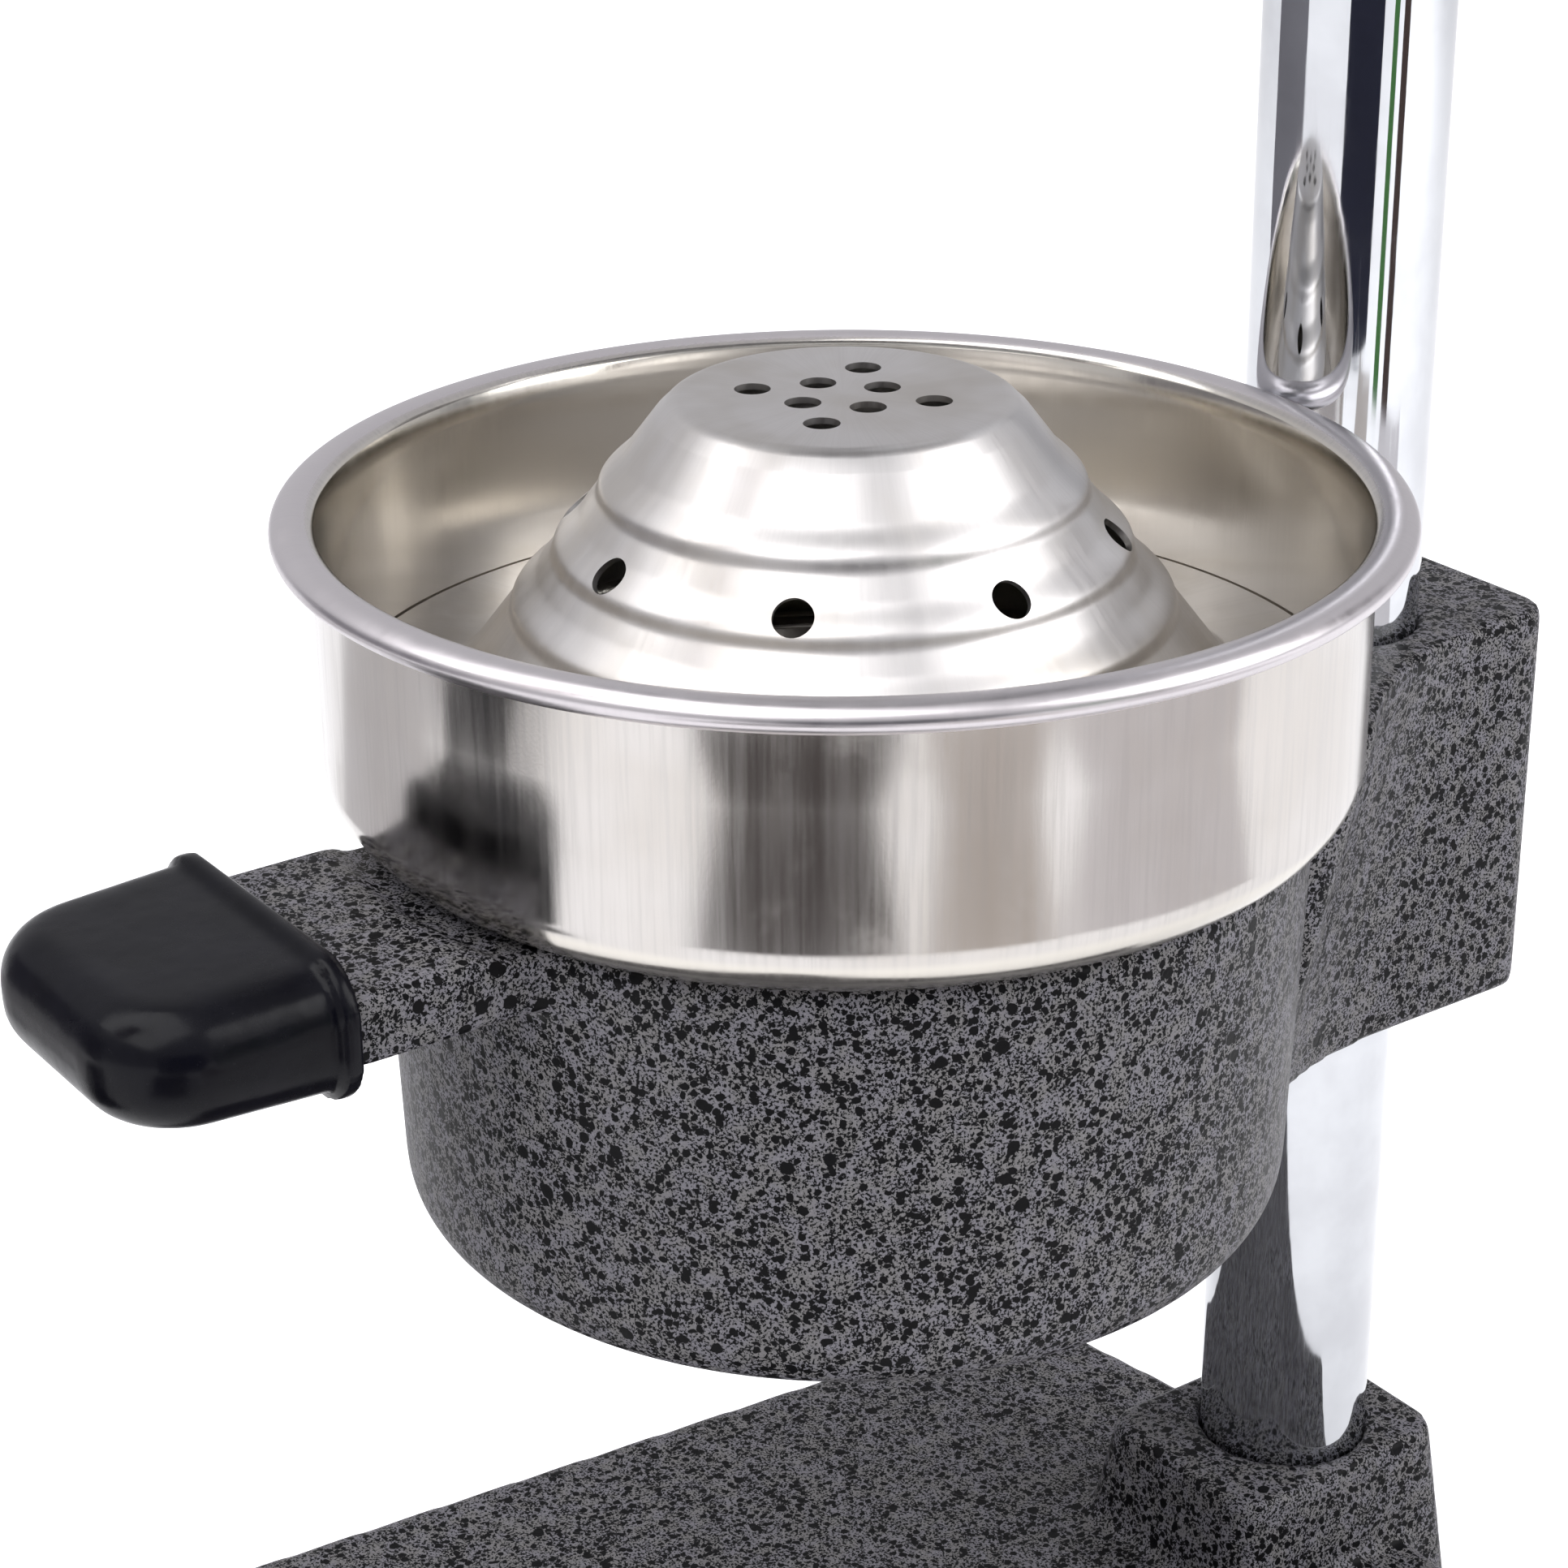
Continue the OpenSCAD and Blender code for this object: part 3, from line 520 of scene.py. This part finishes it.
# castings and rubber: piece, voxel size, smoothing rounds, body, finish
castings = {
    "cup_holder": ("cup_casting", 0.95, 9, "frame", "hammertone"),
    "base_plate": ("base_casting", 1.2, 7, "frame", "hammertone"),
    "head_casting": ("head_shell", 1.0, 4, "frame", "hammertone"),
    "head_cover": ("cover_plate", 0.7, 4, "frame", "hammertone"),
    "lever_hub": ("hub_casting", 0.7, 4, "lever", "hammertone"),
    "handle_grip": ("grip_cap", 0.5, 6, "frame", "rubber"),
}
for source, (name, voxel, rounds, body, finish) in castings.items():
    dress(castCopy(name, source, voxel, rounds), finishes[finish], body, finish, source)
    print("cast piece:", name)

# bell that presses the fruit
bell = {"steps": 160, "mouth": 48.5, "crown": 23.0, "crownSoft": 1.4, "socket": 7.03, "bore": 4.4,
        "neck": 19.2}


def makeBell():
    low, high, wide = bellLow.z / mm, bellHigh.z / mm, bellHigh.x / mm
    mouth, crown, socket, bore, neck = (bell[k] for k in ("mouth", "crown", "socket", "bore", "neck"))
    outer = [(mouth, low), (wide - 1, low), (wide, low + 1.2), (wide, low + 3.6), (52.6, low + 6.5)]
    outer += [(49.2, low + 13), (44.6, low + 20.5), (38.4, low + 28.4), (31.6, low + 35.8)]
    outer += [(25.2, low + 41.2), (21.4, low + 44), (19.6, low + 46.2), (neck, high - 1), (neck - 0.8, high)]
    roof = low + (mouth - crown) / strainer["run"]
    inner = [(socket, high), (socket, roof + 3), (bore, roof + 3), (bore + 3, roof), (crown - 2, roof)]
    inner += [(crown, roof - bell["crownSoft"])]
    made = turnProfile("bell_cast", outer + inner, bell["steps"], sharp=sharpAngle)
    dress(made, finishes["cast_aluminium"], "ram_slide", "cast_aluminium", "press_bell")


makeBell()

# the CAD nodes that stay keep their meshes
slots = {s["node"]: s["material_slot"] for s in frame["record"]["subparts"]}
for name, obj in frame["nodes"].items():
    if obj.hide_render:
        continue
    smoothCad(name)
    obj.data.materials.clear()
    obj.data.materials.append(finishes[slots[name]])
print("CAD nodes dressed")

# stage: floor, cards, lights, world, camera; places are metres, except the camera's
camera = {"place": (338.8, -247.8, 147.7), "heading": 35.15, "pitch": 23.72, "roll": -0.532, "lens": 83.05,
          "sensor": 36.0, "shift": -0.0034}  # place is millimetres from the middle of the bowl's rim
stage = {"floor": (0.93, 0.93, 0.94), "floorLift": 0.40, "paper": (0.97, 0.965, 1.0), "world": 0.64,
         "backdrop": 1.1}
softboxes = {  # power, size, then degrees, distance and height as for aroundBowl
    "softbox_top": (26.0, (2.0, 1.6), -60, 0.7, 1.5),
    "softbox_side": (13.0, (1.0, 1.2), 75, 1.2, 0.9),
}
floorCards = {  # degrees, distance, size, colour
    "card_brown": (-10, 0.43, (0.25, 0.24), (0.022, 0.015, 0.014)),
    "card_shade": (-80, 0.36, (0.15, 0.32), (0.008, 0.007, 0.009)),
    "card_beige": (28, 0.48, (0.16, 0.34), (0.40, 0.365, 0.34)),
    "card_grey": (66, 0.48, (0.30, 0.34), (0.50, 0.48, 0.49)),
    "card_left": (-112, 0.50, (0.30, 0.34), (0.50, 0.49, 0.50)),
}
standingCards = {  # degrees, distance, size, colour
    "card_navy": (6, 0.64, (0.50, 0.36), (0.006, 0.007, 0.022)),
    "card_green": (43, 0.64, (0.07, 0.36), (0.05, 0.16, 0.04)),
    "card_umber": (56, 0.64, (0.09, 0.36), (0.05, 0.03, 0.025)),
    "card_slate": (-96, 0.70, (0.62, 0.36), (0.16, 0.155, 0.17)),
}
airCards = {  # degrees, degrees above the rim, distance, size, colour
    "card_rose": (-66, 44, 0.8, (0.20, 0.36), (0.10, 0.045, 0.045)),
    "card_dark": (112, 24, 0.9, (0.40, 0.36), (0.12, 0.115, 0.12)),
}
towards, pitch = math.radians(camera["heading"]), math.radians(camera["pitch"])
viewAhead = Vector((-math.cos(towards), math.sin(towards), 0))
viewRight = Vector((math.sin(towards), math.cos(towards), 0))
bowlTop = Vector((0, 0, rimZ * mm))


def flatCard(name, size, place, turn, color, shown=False):
    bm = bmesh.new()
    bmesh.ops.create_grid(bm, x_segments=1, y_segments=1, size=0.5)
    bmesh.ops.scale(bm, vec=(*size, 1), verts=bm.verts)
    mesh = bpy.data.meshes.new(name)
    bm.to_mesh(mesh)
    bm.free()
    made = makeObject(name, mesh)
    made.location = place
    made.rotation_euler = turn
    mat, shader = newMaterial(name, color, 0.0, 0.9)
    mesh.materials.append(mat)
    for rays in ("visible_camera", "visible_diffuse", "visible_shadow"):  # a card shows only in reflections
        setattr(made, rays, shown)
    return mat, shader


def aroundBowl(degrees, distance, height):  # 0 degrees is towards the camera, positive to its right
    a = math.radians(degrees)
    way = -viewAhead * math.cos(a) + viewRight * math.sin(a)
    return way * distance + Vector((0, 0, height))


def headingOf(degrees):
    way = aroundBowl(degrees, 1, 0)
    return math.atan2(way.y, way.x)


def floorCard(name, degrees, distance, size, color):  # lies on the floor, its long side pointing at the bowl
    turn = Euler((0, 0, headingOf(degrees) - math.pi / 2))
    flatCard(name, size, aroundBowl(degrees, distance, 0.004), turn, color)


def standingCard(name, degrees, distance, size, color):  # stands on the floor and faces the bowl
    turn = Euler((math.pi / 2, 0, headingOf(degrees) + math.pi / 2))
    flatCard(name, size, aroundBowl(degrees, distance, size[1] / 2 + 0.002), turn, color)


def airCard(name, degrees, rise, distance, size, color):  # faces the bowl from rise degrees above the rim
    up = math.radians(rise)
    way = aroundBowl(degrees, math.cos(up), math.sin(up))
    flatCard(name, size, way * distance + bowlTop, (-way).to_track_quat("Z", "Y").to_euler(), color)


def areaLight(name, power, size, place, target):
    data = bpy.data.lights.new(name, "AREA")
    data.shape = "RECTANGLE"
    data.size, data.size_y = size
    data.energy = power
    made = bpy.data.objects.new(name, data)
    made.location = place
    made.rotation_euler = (target - place).to_track_quat("-Z", "Y").to_euler()
    bpy.context.scene.collection.objects.link(made)


def makeFloor():  # the floor is seen whiter than it lights the metal
    mat, shader = flatCard("floor", (30, 30), (0, 0, 0), (0, 0, 0), stage["floor"], shown=True)
    shader.inputs["Specular IOR Level"].default_value = 0.0
    shader.inputs["Emission Color"].default_value = (*stage["paper"], 1)
    seen = node(mat, "LightPath").outputs["Is Camera Ray"]
    plug(mat, calc(mat, "MULTIPLY", seen, stage["floorLift"]), shader.inputs["Emission Strength"])


def makeWorld():  # the backdrop is seen white, and lights less than that
    world = bpy.data.worlds.new("studio")
    bpy.context.scene.world = world
    world.use_nodes = True
    backdrop = world.node_tree.nodes["Background"]
    backdrop.inputs["Color"].default_value = (*stage["paper"], 1)
    seen = node(world, "LightPath").outputs["Is Camera Ray"]
    level = node(world, "MapRange", {"Value": seen, "To Min": stage["world"], "To Max": stage["backdrop"]})
    plug(world, level.outputs["Result"], backdrop.inputs["Strength"])


def makeCamera():
    data = bpy.data.cameras.new("camera")
    data.sensor_width = camera["sensor"]
    data.lens = camera["lens"]
    data.shift_y = camera["shift"]
    data.clip_start, data.clip_end = 0.01, 100
    made = bpy.data.objects.new("camera", data)
    bpy.context.scene.collection.objects.link(made)
    made.location = Vector(camera["place"]) * mm + bowlTop
    ahead = viewAhead * math.cos(pitch) - Vector((0, 0, math.sin(pitch)))
    roll = Matrix.Rotation(math.radians(camera["roll"]), 4, "Z")
    made.rotation_euler = (ahead.to_track_quat("-Z", "Y").to_matrix().to_4x4() @ roll).to_euler()
    bpy.context.scene.camera = made


makeFloor()
for name, values in floorCards.items():
    floorCard(name, *values)
for name, values in standingCards.items():
    standingCard(name, *values)
for name, values in airCards.items():
    airCard(name, *values)
for name, (power, size, *place) in softboxes.items():
    areaLight(name, power, size, aroundBowl(*place), bowlTop)
makeWorld()
makeCamera()
bpy.context.scene.view_settings.view_transform = "Standard"
bpy.context.scene.view_settings.look = "None"
print("stage set")
